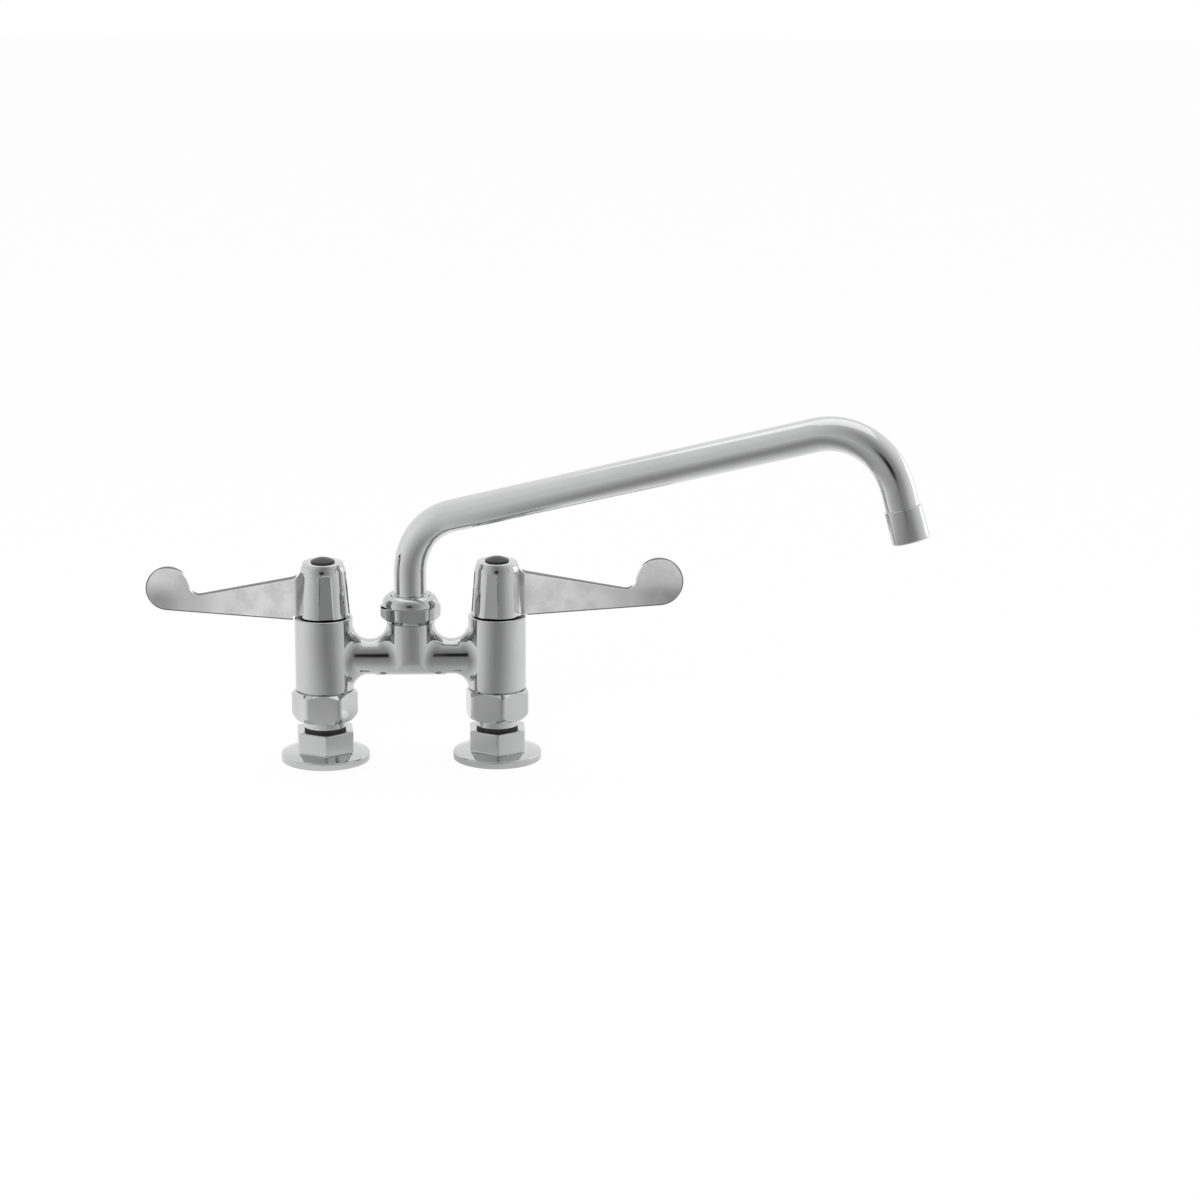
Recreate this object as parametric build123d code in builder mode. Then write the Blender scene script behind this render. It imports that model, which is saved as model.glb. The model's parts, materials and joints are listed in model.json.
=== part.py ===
# A commercial kitchen tap that stands on a deck: two upright legs on round flanges,
# joined by a cast bridge, with a swinging angled spout and two wrist-blade levers.
# Millimetres. +Z is up, the origin is on the deck midway between the two inlets,
# and the person at the sink stands on the -Y side.
import os
from math import atan, cos, radians, sin

from build123d import *

os.makedirs("parts", exist_ok=True)

# ---- Plan ----
inlet_centres = 101.6
legs = {"left": -1, "right": 1}

# ---- Fits ----
running_clearance = 0.05  # a turning part in its bore, all round
thread_clearance = 0.05  # a screwed part in its thread, all round
socket_clearance = 0.1  # a part dropped into its seat, all round
axial_play = 0.1  # end float of a turning part
level_tolerance = 0.001  # for choosing edges by their height

# ---- Deck flange with its lower hexagon ----
flange_radius = 26.1
flange_rim_height = 4.1
flange_rim_edge = 0.85
flange_foot_edge = 0.5
flange_crown_radius = 19.6  # where the sloping face meets the flat top
flange_height = 5.9
flange_hex_flats = 32.5
flange_hex_corner = 2.5
flange_hex_height = 12.6
flange_hex_edge = 0.7
flange_flare = 1.0
flange_hex_turn = {"left": 4.0, "right": 0.0}  # where a corner points, from the front
inlet_radius = 10.2  # thread for the supply, from below
inlet_depth = 9.0
inlet_web_radius = 8.0
inlet_web = 1.5
shank_thread_radius = 10.6

# ---- Shank between the flange and the coupling nut ----
shank_radius = 12.7
shank_bore_radius = 6.5
shank_show = 4.8
thread_gap = 2.0  # between the hexagon and the shank, filled by a sealing washer
shank_washer_radius = 12.2
shank_head_radius = 13.9
shank_head_height = 2.5

# ---- Coupling nut ----
nut_flats = 34.5
nut_corner = 3.0
nut_height = 17.2
nut_turn = {"left": 27.6, "right": 8.5}
nut_lip = 3.3
nut_top_radius = 17.2
nut_top_chamfer = 2.2
nut_bottom_radius = 17.2
nut_bottom_chamfer = 3.2
nut_face_radius = 19.5
washer_thickness = 1.4
groove_gap = 1.0  # dark groove between the nut and the leg

# ---- Casting: two legs, the bridge and the middle boss ----
leg_radius = 17.0
leg_height = 43.5
leg_rim = 0.9
spigot_radius = 14.6
bridge_rise = 18.7  # bridge axis above the foot of the leg
bridge_radius = 10.5
bridge_bore_radius = 6.0
saddle_radius = 9.6
boss_radius = 14.1
boss_height = 21.4  # above the bridge axis
boss_belly = 0.4  # how far the boss hangs below the bridge
seat_rise = 6.5  # valve seat above the foot of the leg
chamber_radius = 11.15
counterbore_radius = 13.2
counterbore_depth = 1.5

# ---- Swivel on the boss ----
swivel_bore_radius = 10.9
swivel_bore_depth = 24.0
swivel_spigot_radius = 13.0
swivel_spigot_height = 10.4
swivel_nut_gap = 0.4
swivel_nut_flats = 32.0
swivel_nut_corner = 4.6
swivel_nut_turn = 4.3  # where a flat points, from the front
swivel_nut_neck_radius = 14.3
swivel_nut_neck = 2.0
swivel_nut_hex = 7.5
swivel_nut_dome = 6.5
swivel_nut_dome_radius = 16.3
swivel_nut_crest_radius = 12.6
swivel_nut_dome_bulge = 1.36
swivel_nut_hole_radius = 11.35
swivel_nut_hole_drop = 1.2
swivel_lip = 3.0
swivel_washer_thickness = 0.8

# ---- Spout ----
tube_radius = 9.525
tube_wall = 1.2
spout_reach = 304.8
spout_rise_angle = 16.7
spout_turn = 26.7  # at rest the spout is swung from the right towards the front
spout_knee = 57.75  # first corner above the boss
spout_drop = 67.6  # from the far corner down to the outlet
bend_radius = 38.0
bearing_show = 1.1  # ring that stands out of the swivel nut
bearing_ring_radius = 11.0
bearing_length = 24.0
bearing_flange_radius = 12.4
bearing_flange_height = 2.0
tube_seat_depth = 14.0
seal_groove_depth = 1.5
seal_groove_width = 2.0
seal_pitch = 6.0
seal_first = 4.5  # middle of the first seal above the bearing's foot

# ---- Outlet ----
sleeve_radius = 10.5
sleeve_length = 18.6
sleeve_rim = 1.0
sleeve_lip = 2.2
sleeve_lip_radius = 8.0
outlet_thread_radius = 9.0
outlet_seam = 0.35
outlet_washer_thickness = 1.6
insert_height = 3.2
insert_rib = 1.0
insert_rib_pitch = 3.2
screen_thickness = 0.4
screen_hole_radius = 0.55
screen_hole_pitch = 1.7

# ---- Valve cartridge ----
seal_height = 2.6
skirt_lift = 0.6  # foot of the cartridge above the valve seat
skirt_bore_radius = 8.4
port_radius = 2.2
port_centre = 4.3
disc_height = 2.9
window_width = 9.0
window_height = 5.5
flange_lift = 0.3  # cartridge flange above the leg's rim
cartridge_flange_radius = 13.0
cartridge_hex_flats = 18.0
cartridge_hex_height = 8.0
cartridge_neck_radius = 8.6
cartridge_neck_height = 1.6
cartridge_cap_radius = 7.5
cartridge_cap_height = 4.1
stem_radius = 4.0
stem_square = 5.6
stem_square_length = 9.1
drive_bar_width = 4.0
drive_bar_height = 2.5
drive_key_depth = 1.2
stem_seal_groove_depth = 1.06
stem_seal_groove_width = 1.4

# ---- Wrist-blade lever ----
hub_gap = 1.0
hub_height = 31.5
hub_foot_radius = 15.5
hub_shoulder_radius = 13.3
hub_shoulder_drop = 5.0
hub_shoulder_bulge = 0.12
hub_rim_radius = 12.3
hub_rim_drop = 1.9
hub_step = 0.3
hub_edge = 0.7
hub_cavity_radius = 10.9
hub_pockets = 5
pocket_turn = {"left": -10.0, "right": 3.0}  # degrees past the even spacing from the blade
pocket_depth = 1.1
pocket_top_width = 5.6  # of the flat floor, likewise the next two
pocket_foot_width = 8.2
pocket_top_drop = 6.2
pocket_draft = 45  # degrees, the walls lean outwards by this
pocket_corner = 1.0
blade_root_thickness = 7.0
blade_tip_thickness = 4.2
blade_edge = 1.4
blade_reach = {"left": 103.0, "right": 109.5}
blade_end_radius = {"left": 12.9, "right": 14.2}
blade_foot_lift = {"left": -1.9, "right": 0.1}  # lower edge above the leg's rim, at the leg's radius
blade_foot_slope = {"left": 0.085, "right": 0.064}
blade_heel_gap = 0.7  # between the lower edge's heel and the leg's side
blade_top_lift = {"left": 23.8, "right": 26.3}  # upper edge above the leg's rim, near the hub
blade_top_slope = -0.178
blade_neck_radius = 5.5
blade_web_radius = 5.0
blade_web_drop = 2.4  # top of the web below the hub's top
screw_radius = 1.5
screw_hole_radius = 1.7
screw_head_radius = 3.0
screw_head_height = 2.2
screw_slot_width = 0.8
screw_slot_depth = 0.9
screw_grip = 8.0  # length of screw in the stem
button_radius = 7.05
button_height = 2.9
button_edge = 0.8
button_scallops = 24
button_scallop_radius = 0.45
button_recess_radius = 6.6
button_recess_depth = 4.0
button_plug_radius = 5.0
button_plug_depth = 3.2

# ---- Heights that follow from the stack of parts ----
flange_hex_top = flange_height + flange_hex_height
shank_thread_foot = inlet_depth + inlet_web
shank_foot = flange_hex_top + thread_gap
nut_foot = shank_foot + shank_show
nut_top = nut_foot + nut_height
shank_head_foot = nut_foot + nut_lip
washer_foot = shank_head_foot + shank_head_height
spigot_foot = washer_foot + washer_thickness
leg_foot = nut_top + groove_gap
leg_top = leg_foot + leg_height
bridge_level = leg_foot + bridge_rise
boss_top = bridge_level + boss_height
seat_level = leg_foot + seat_rise

swivel_nut_foot = boss_top + swivel_nut_gap
swivel_spigot_top = boss_top + swivel_spigot_height
swivel_hex_top = swivel_nut_foot + swivel_nut_neck + swivel_nut_hex
swivel_nut_top = swivel_hex_top + swivel_nut_dome
swivel_lip_foot = swivel_nut_top - swivel_lip
bearing_flange_foot = swivel_spigot_top + axial_play
bearing_flange_top = bearing_flange_foot + bearing_flange_height
bearing_foot = bearing_flange_foot - bearing_length
bearing_top = swivel_nut_top - swivel_nut_hole_drop + bearing_show
tube_seat = bearing_top - tube_seat_depth

fixed_disc_foot = seat_level + seal_height
turning_disc_foot = fixed_disc_foot + disc_height + running_clearance
drive_bar_foot = turning_disc_foot + disc_height
skirt_bore_top = bridge_level + bridge_bore_radius - socket_clearance
cartridge_foot = seat_level + skirt_lift
cartridge_flange_foot = leg_top - counterbore_depth
cartridge_flange_top = leg_top + flange_lift
cartridge_hex_foot = cartridge_flange_top + cartridge_neck_height
cartridge_hex_top = cartridge_hex_foot + cartridge_hex_height
cartridge_top = cartridge_hex_top + cartridge_cap_height
stem_seal_level = cartridge_top - cartridge_cap_height / 2

hub_foot = leg_top + hub_gap
hub_top = hub_foot + hub_height
hub_shoulder = hub_top - hub_shoulder_drop
hub_rim = hub_top - hub_rim_drop
hub_slope = atan((hub_foot_radius - hub_shoulder_radius) / (hub_height - hub_shoulder_drop))
pocket_length = (hub_height - pocket_top_drop) / cos(hub_slope)
button_seat = hub_top - button_recess_depth
square_foot = cartridge_top + hub_gap
cavity_top = square_foot + socket_clearance
stem_top = square_foot + stem_square_length
screw_foot = stem_top - screw_grip

# ---- The spout's corners, in its own upright plane ----
rise = radians(spout_rise_angle)
turn = radians(spout_turn)
knee_level = boss_top + spout_knee
arm_length = (spout_reach - spout_drop * sin(rise)) / cos(rise)
far_corner = (arm_length * cos(rise), knee_level + arm_length * sin(rise))
outlet_point = (spout_reach, far_corner[1] - spout_drop * cos(rise))
tube_stop = spout_drop - sleeve_lip - insert_height - outlet_washer_thickness
tube_end_point = (
    far_corner[0] + tube_stop * sin(rise),
    far_corner[1] - tube_stop * cos(rise),
)
spout_heading = (cos(turn), -sin(turn), 0)
spout_plane = Plane(origin=(0, 0, 0), x_dir=spout_heading, z_dir=(-sin(turn), -cos(turn), 0))
outlet_flow = Vector(sin(rise) * cos(turn), -sin(rise) * sin(turn), -cos(rise))
outlet_plane = Plane(
    origin=(spout_reach * cos(turn), -spout_reach * sin(turn), outlet_point[1]),
    x_dir=(sin(turn), cos(turn), 0),
    z_dir=outlet_flow,
)


def leg_x(side):
    """Where a side's leg stands."""
    return legs[side] * inlet_centres / 2


def leg_axis(side):
    return Axis((leg_x(side), 0, 0), (0, 0, 1))


def leg_section(side):
    """Upright plane through a leg: x is the distance outwards, y the height."""
    way = legs[side]
    return Plane(origin=(leg_x(side), 0, 0), x_dir=(way, 0, 0), z_dir=(0, -way, 0))


def leg_plan(side, height):
    return Plane(origin=(leg_x(side), 0, height), x_dir=(1, 0, 0), z_dir=(0, 0, 1))


def edges_at(height):
    """The level edges of the part in hand at one height."""
    return edges().filter_by_position(Axis.Z, height - level_tolerance, height + level_tolerance)


def corner_turn(from_front):
    """Turn of a hexagon that points a corner this many degrees right of the front."""
    return from_front - 90


# ---- Deck flanges: a disc with a sloping face, a hexagon on it ----
for side in legs:
    with BuildPart() as deck_flange:
        with BuildSketch(leg_section(side)):
            with BuildLine():
                Polyline(
                    (0, 0),
                    (flange_radius, 0),
                    (flange_radius, flange_rim_height),
                    (flange_crown_radius, flange_height),
                    (0, flange_height),
                    close=True,
                )
            make_face()
            rim = vertices().filter_by(lambda v: v.X > flange_crown_radius).sort_by(Axis.Y)
            fillet(rim[-1], flange_rim_edge)
            fillet(rim[0], flange_foot_edge)
        revolve(axis=leg_axis(side))
        with BuildSketch(leg_plan(side, 0)):
            RegularPolygon(
                flange_hex_flats / 2,
                6,
                major_radius=False,
                rotation=corner_turn(flange_hex_turn[side]),
            )
            fillet(vertices(), flange_hex_corner)
        extrude(amount=flange_hex_top)
        root = edges_at(flange_height).filter_by(lambda e: e.length < flange_hex_flats)
        fillet(root, flange_flare)
        fillet(edges_at(flange_hex_top), flange_hex_edge)
        for foot, top, hole_radius in (
            (0, inlet_depth, inlet_radius),
            (inlet_depth, shank_thread_foot, inlet_web_radius),
            (shank_thread_foot, flange_hex_top, shank_thread_radius),
        ):
            with BuildSketch(leg_plan(side, foot)):
                Circle(hole_radius)
            extrude(amount=top - foot, mode=Mode.SUBTRACT)
    deck_flange.part.label = f"deck_flange_{side}"
    export_step(deck_flange.part, f"parts/deck_flange_{side}.step")

# ---- Shanks: a shouldered tube, screwed into the flange and held up by its head ----
for side in legs:
    with BuildPart() as shank:
        with BuildSketch(leg_section(side)):
            with BuildLine():
                Polyline(
                    (shank_bore_radius, shank_thread_foot),
                    (shank_thread_radius - thread_clearance, shank_thread_foot),
                    (shank_thread_radius - thread_clearance, shank_foot),
                    (shank_radius, shank_foot),
                    (shank_radius, shank_head_foot),
                    (shank_head_radius, shank_head_foot),
                    (shank_head_radius, washer_foot),
                    (shank_bore_radius, washer_foot),
                    close=True,
                )
            make_face()
        revolve(axis=leg_axis(side))
    shank.part.label = f"shank_{side}"
    export_step(shank.part, f"parts/shank_{side}.step")

# ---- Shank washers between the flange's hexagon and the shank's shoulder ----
for side in legs:
    with BuildPart() as shank_washer:
        with BuildSketch(leg_plan(side, flange_hex_top)):
            Circle(shank_washer_radius)
            Circle(shank_thread_radius, mode=Mode.SUBTRACT)
        extrude(amount=thread_gap)
    shank_washer.part.label = f"shank_washer_{side}"
    export_step(shank_washer.part, f"parts/shank_washer_{side}.step")

# ---- Coupling washers between the shank's head and the leg ----
for side in legs:
    with BuildPart() as coupling_washer:
        with BuildSketch(leg_plan(side, washer_foot)):
            Circle(shank_head_radius)
            Circle(shank_bore_radius, mode=Mode.SUBTRACT)
        extrude(amount=washer_thickness)
    coupling_washer.part.label = f"coupling_washer_{side}"
    export_step(coupling_washer.part, f"parts/coupling_washer_{side}.step")

# ---- Coupling nuts: a hexagon with both ends turned round, and a lip below ----
for side in legs:
    with BuildPart() as coupling_nut:
        with BuildSketch(leg_plan(side, nut_foot)):
            RegularPolygon(
                nut_flats / 2,
                6,
                major_radius=False,
                rotation=corner_turn(nut_turn[side]),
            )
            fillet(vertices(), nut_corner)
        extrude(amount=nut_height)
        with BuildSketch(leg_section(side)):
            with BuildLine():
                Polyline(
                    (shank_radius + socket_clearance, nut_foot),
                    (nut_bottom_radius, nut_foot),
                    (nut_face_radius, nut_foot + nut_bottom_chamfer),
                    (nut_face_radius, nut_top - nut_top_chamfer),
                    (nut_top_radius, nut_top),
                    (spigot_radius + thread_clearance, nut_top),
                    (spigot_radius + thread_clearance, shank_head_foot),
                    (shank_radius + socket_clearance, shank_head_foot),
                    close=True,
                )
            make_face()
        revolve(axis=leg_axis(side), mode=Mode.INTERSECT)
    coupling_nut.part.label = f"coupling_nut_{side}"
    export_step(coupling_nut.part, f"parts/coupling_nut_{side}.step")

# ---- Bridge body: legs, bridge and boss blended by full saddles ----
with BuildPart() as bridge_body:
    # Legs and boss start low, so that the blends run out before the ends are trimmed
    stub = bridge_radius + saddle_radius + leg_rim
    with BuildSketch(Plane.YZ.offset(-inlet_centres / 2)):
        with Locations((0, bridge_level)):
            Circle(bridge_radius)
    extrude(amount=inlet_centres)
    for side in legs:
        with BuildSketch(leg_plan(side, bridge_level - stub)):
            Circle(leg_radius)
        extrude(amount=leg_top + stub - bridge_level)
    with BuildSketch(Plane.XY.offset(bridge_level - stub)):
        Circle(boss_radius)
    extrude(amount=boss_height + stub)
    joints_of_tube = [e for e in edges() if e.geom_type not in (GeomType.LINE, GeomType.CIRCLE)]
    fillet(joints_of_tube, saddle_radius)
    # Below the bridge the boss is rounded off to the bridge's own underside
    belly = bridge_level - bridge_radius - boss_belly
    with BuildSketch(Plane.YZ.offset(-boss_radius - saddle_radius)):
        with BuildLine():
            low = belly - stub
            Line((-leg_radius, low), (leg_radius, low))
            Line((leg_radius, low), (leg_radius, belly + boss_radius))
            Line((leg_radius, belly + boss_radius), (boss_radius, belly + boss_radius))
            ThreePointArc(
                (boss_radius, belly + boss_radius),
                (0, belly),
                (-boss_radius, belly + boss_radius),
            )
            Line((-boss_radius, belly + boss_radius), (-leg_radius, belly + boss_radius))
            Line((-leg_radius, belly + boss_radius), (-leg_radius, low))
        make_face()
    extrude(amount=2 * (boss_radius + saddle_radius), mode=Mode.SUBTRACT)
    # The feet of the legs, with a spigot for each coupling nut
    split(bisect_by=Plane.XY.offset(leg_foot), keep=Keep.TOP)
    fillet(edges_at(leg_top), leg_rim)
    for side in legs:
        with BuildSketch(leg_plan(side, spigot_foot)):
            Circle(spigot_radius)
        extrude(amount=seat_level - spigot_foot)
    with BuildSketch(Plane.XY.offset(boss_top)):
        Circle(swivel_spigot_radius)
    extrude(amount=swivel_spigot_height)
    # Waterways: inlets, valve chambers, the cross passage and the swivel's bore
    for side in legs:
        with BuildSketch(leg_plan(side, spigot_foot)):
            Circle(shank_bore_radius)
        extrude(amount=leg_top - spigot_foot, mode=Mode.SUBTRACT)
        with BuildSketch(leg_plan(side, seat_level)):
            Circle(chamber_radius)
        extrude(amount=leg_top - seat_level, mode=Mode.SUBTRACT)
        with BuildSketch(leg_plan(side, cartridge_flange_foot)):
            Circle(counterbore_radius)
        extrude(amount=counterbore_depth, mode=Mode.SUBTRACT)
    with BuildSketch(Plane.YZ.offset(-inlet_centres / 2)):
        with Locations((0, bridge_level)):
            Circle(bridge_bore_radius)
    extrude(amount=inlet_centres, mode=Mode.SUBTRACT)
    with BuildSketch(Plane.XY.offset(swivel_spigot_top - swivel_bore_depth)):
        Circle(swivel_bore_radius)
    extrude(amount=swivel_bore_depth, mode=Mode.SUBTRACT)
    with BuildSketch(Plane.XY.offset(bridge_level)):
        Circle(tube_radius - tube_wall)
    extrude(amount=boss_height, mode=Mode.SUBTRACT)
bridge_body.part.label = "bridge_body"
export_step(bridge_body.part, "parts/bridge_body.step")

# ---- Swivel nut: a low hexagon under a domed ring ----
with BuildPart() as swivel_nut:
    with BuildSketch(Plane.XY.offset(swivel_nut_foot)):
        RegularPolygon(
            swivel_nut_flats / 2,
            6,
            major_radius=False,
            rotation=corner_turn(swivel_nut_turn + 30),
        )
        fillet(vertices(), swivel_nut_corner)
    extrude(amount=swivel_nut_neck + swivel_nut_hex)
    with BuildSketch(Plane.XZ):
        with BuildLine():
            Polyline(
                (0, swivel_nut_foot),
                (swivel_nut_neck_radius, swivel_nut_foot),
                (swivel_nut_flats, swivel_nut_foot + swivel_nut_flats - swivel_nut_neck_radius),
                (0, swivel_nut_foot + swivel_nut_flats - swivel_nut_neck_radius),
                close=True,
            )
        make_face()
    revolve(axis=Axis.Z, mode=Mode.INTERSECT)
    with BuildSketch(Plane.XZ):
        with BuildLine():
            dome_foot = (swivel_nut_dome_radius, swivel_hex_top)
            crest = (swivel_nut_crest_radius, swivel_nut_top)
            throat = (swivel_nut_hole_radius, swivel_nut_top - swivel_nut_hole_drop)
            Line((0, swivel_hex_top), dome_foot)
            SagittaArc(dome_foot, crest, -swivel_nut_dome_bulge)
            Line(crest, throat)
            Line(throat, (0, throat[1]))
            Line((0, throat[1]), (0, swivel_hex_top))
        make_face()
    revolve(axis=Axis.Z)
    with BuildSketch(Plane.XY.offset(swivel_nut_foot)):
        Circle(swivel_spigot_radius + thread_clearance)
    extrude(amount=swivel_lip_foot - swivel_nut_foot, mode=Mode.SUBTRACT)
    with BuildSketch(Plane.XY.offset(swivel_lip_foot)):
        Circle(swivel_nut_hole_radius)
    extrude(amount=swivel_lip, mode=Mode.SUBTRACT)
swivel_nut.part.label = "swivel_nut"
export_step(swivel_nut.part, "parts/swivel_nut.step")

# ---- Swivel washer under the nut's lip ----
with BuildPart() as swivel_washer:
    with BuildSketch(Plane.XY.offset(swivel_lip_foot - swivel_washer_thickness)):
        Circle(swivel_spigot_radius)
        Circle(swivel_nut_hole_radius, mode=Mode.SUBTRACT)
    extrude(amount=swivel_washer_thickness)
swivel_washer.part.label = "swivel_washer"
export_step(swivel_washer.part, "parts/swivel_washer.step")

# ---- Spout bearing: turns in the boss, grooved for two seals, flanged under the nut ----
bearing_radius = swivel_bore_radius - running_clearance
seal_levels = [bearing_foot + seal_first, bearing_foot + seal_first + seal_pitch]
with BuildPart() as spout_bearing:
    with BuildSketch(Plane.XZ):
        with BuildLine():
            Polyline(
                (tube_radius - tube_wall, bearing_foot),
                (bearing_radius, bearing_foot),
                (bearing_radius, bearing_flange_foot),
                (bearing_flange_radius, bearing_flange_foot),
                (bearing_flange_radius, bearing_flange_top),
                (bearing_ring_radius, bearing_flange_top),
                (bearing_ring_radius, bearing_top),
                (tube_radius, bearing_top),
                (tube_radius, tube_seat),
                (tube_radius - tube_wall, tube_seat),
                close=True,
            )
        make_face()
    revolve(axis=Axis.Z)
    for level in seal_levels:
        with BuildSketch(Plane.XY.offset(level - seal_groove_width / 2)):
            Circle(bearing_radius)
            Circle(bearing_radius - seal_groove_depth, mode=Mode.SUBTRACT)
        extrude(amount=seal_groove_width, mode=Mode.SUBTRACT)
    fillet(edges_at(bearing_top).sort_by(SortBy.LENGTH)[-1], (bearing_ring_radius - tube_radius) / 3)
spout_bearing.part.label = "spout_bearing"
export_step(spout_bearing.part, "parts/spout_bearing.step")

# ---- Spout seals: two O-rings in the bearing's grooves ----
with BuildPart() as spout_seals:
    for level in seal_levels:
        with BuildSketch(Plane.XZ):
            with Locations((bearing_radius - seal_groove_depth / 2, level)):
                Circle(seal_groove_depth / 2)
        revolve(axis=Axis.Z)
spout_seals.part.label = "spout_seals"
export_step(spout_seals.part, "parts/spout_seals.step")

# ---- Spout tube: riser, rising arm and outlet leg, with two equal bends ----
with BuildPart() as spout_tube:
    with BuildLine(spout_plane):
        FilletPolyline((0, tube_seat), (0, knee_level), far_corner, tube_end_point, radius=bend_radius)
    with BuildSketch(Plane.XY.offset(tube_seat)):
        Circle(tube_radius)
        Circle(tube_radius - tube_wall, mode=Mode.SUBTRACT)
    sweep()
    with BuildSketch(outlet_plane.offset(-sleeve_length - outlet_seam)):
        Circle(sleeve_radius)
        Circle(outlet_thread_radius - thread_clearance, mode=Mode.SUBTRACT)
    extrude(amount=sleeve_length, mode=Mode.SUBTRACT)
spout_tube.part.label = "spout_tube"
export_step(spout_tube.part, "parts/spout_tube.step")

# ---- Outlet sleeve: screwed over the tube's end, with a lip that holds the aerator ----
with BuildPart() as outlet_sleeve:
    with BuildSketch(outlet_plane.offset(-sleeve_length)):
        Circle(sleeve_radius)
    extrude(amount=sleeve_length)
    sleeve_ends = edges().filter_by(GeomType.CIRCLE).sort_by(Axis(outlet_plane.origin, outlet_flow))
    fillet(sleeve_ends[-1], sleeve_rim)
    fillet(sleeve_ends[0], outlet_seam)
    with BuildSketch(outlet_plane.offset(-sleeve_length)):
        Circle(outlet_thread_radius)
    extrude(amount=sleeve_length - sleeve_lip, mode=Mode.SUBTRACT)
    with BuildSketch(outlet_plane.offset(-sleeve_lip)):
        Circle(sleeve_lip_radius)
    extrude(amount=sleeve_lip, mode=Mode.SUBTRACT)
outlet_sleeve.part.label = "outlet_sleeve"
export_step(outlet_sleeve.part, "parts/outlet_sleeve.step")

# ---- Aerator: washer, then an insert whose grid carries two screens ----
aerator_radius = outlet_thread_radius - thread_clearance
insert_top = -sleeve_lip - insert_height
with BuildPart() as outlet_washer:
    with BuildSketch(outlet_plane.offset(insert_top - outlet_washer_thickness)):
        Circle(aerator_radius)
        Circle(tube_radius - tube_wall, mode=Mode.SUBTRACT)
    extrude(amount=outlet_washer_thickness)
outlet_washer.part.label = "outlet_washer"
export_step(outlet_washer.part, "parts/outlet_washer.step")

insert_bore = sleeve_lip_radius - insert_rib / 2
screen_reach = insert_bore - 2 * screen_hole_radius
with BuildPart() as aerator_insert:
    with BuildSketch(outlet_plane.offset(insert_top)):
        Circle(aerator_radius)
        Circle(insert_bore, mode=Mode.SUBTRACT)
    extrude(amount=insert_height)
    with BuildSketch(outlet_plane.offset(-sleeve_lip - insert_rib)):
        with GridLocations(insert_rib_pitch, 0, 5, 1):
            Rectangle(insert_rib, 2 * insert_bore)
        with GridLocations(0, insert_rib_pitch, 1, 5):
            Rectangle(2 * insert_bore, insert_rib)
        Circle(insert_bore + insert_rib / 4, mode=Mode.INTERSECT)
    extrude(amount=insert_rib)
aerator_insert.part.label = "aerator_insert"
export_step(aerator_insert.part, "parts/aerator_insert.step")

with BuildPart() as aerator_screens:
    for screen in range(2):
        with BuildSketch(outlet_plane.offset(insert_top + 2 * screen * screen_thickness)):
            Circle(insert_bore)
            with HexLocations(screen_hole_pitch / 2, 9, 9, major_radius=False) as holes:
                near = [hole for hole in holes.local_locations if hole.position.length < screen_reach]
            with Locations(*near):
                Circle(screen_hole_radius, mode=Mode.SUBTRACT)
        extrude(amount=screen_thickness)
aerator_screens.part.label = "aerator_screens"
export_step(aerator_screens.part, "parts/aerator_screens.step")

# ---- Cartridge bodies: a slotted skirt in the chamber, a flange and a wrench hexagon ----
stem_bore_radius = stem_radius + running_clearance
for side in legs:
    with BuildPart() as cartridge_body:
        with BuildSketch(leg_section(side)):
            with BuildLine():
                Polyline(
                    (skirt_bore_radius, cartridge_foot),
                    (chamber_radius - thread_clearance, cartridge_foot),
                    (chamber_radius - thread_clearance, cartridge_flange_foot),
                    (cartridge_flange_radius, cartridge_flange_foot),
                    (cartridge_flange_radius, cartridge_flange_top),
                    (cartridge_neck_radius, cartridge_flange_top),
                    (cartridge_neck_radius, cartridge_hex_foot),
                    (cartridge_cap_radius, cartridge_hex_foot),
                    (cartridge_cap_radius, cartridge_top),
                    (stem_bore_radius, cartridge_top),
                    (stem_bore_radius, skirt_bore_top),
                    (skirt_bore_radius, skirt_bore_top),
                    close=True,
                )
            make_face()
        revolve(axis=leg_axis(side))
        with BuildSketch(leg_plan(side, cartridge_hex_foot)):
            RegularPolygon(cartridge_hex_flats / 2, 6, major_radius=False)
            Circle(stem_bore_radius, mode=Mode.SUBTRACT)
        extrude(amount=cartridge_hex_height)
        with BuildSketch(leg_plan(side, skirt_bore_top - window_height)):
            Rectangle(2 * leg_radius, window_width)
        extrude(amount=window_height, mode=Mode.SUBTRACT)
    cartridge_body.part.label = f"cartridge_body_{side}"
    export_step(cartridge_body.part, f"parts/cartridge_body_{side}.step")

# ---- Seat seals, pressed between the valve seat and the fixed disc ----
disc_radius = skirt_bore_radius - socket_clearance
for side in legs:
    with BuildPart() as seat_seal:
        with BuildSketch(leg_plan(side, seat_level)):
            Circle(disc_radius)
            Circle(shank_bore_radius, mode=Mode.SUBTRACT)
        extrude(amount=seal_height)
    seat_seal.part.label = f"seat_seal_{side}"
    export_step(seat_seal.part, f"parts/seat_seal_{side}.step")

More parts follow.
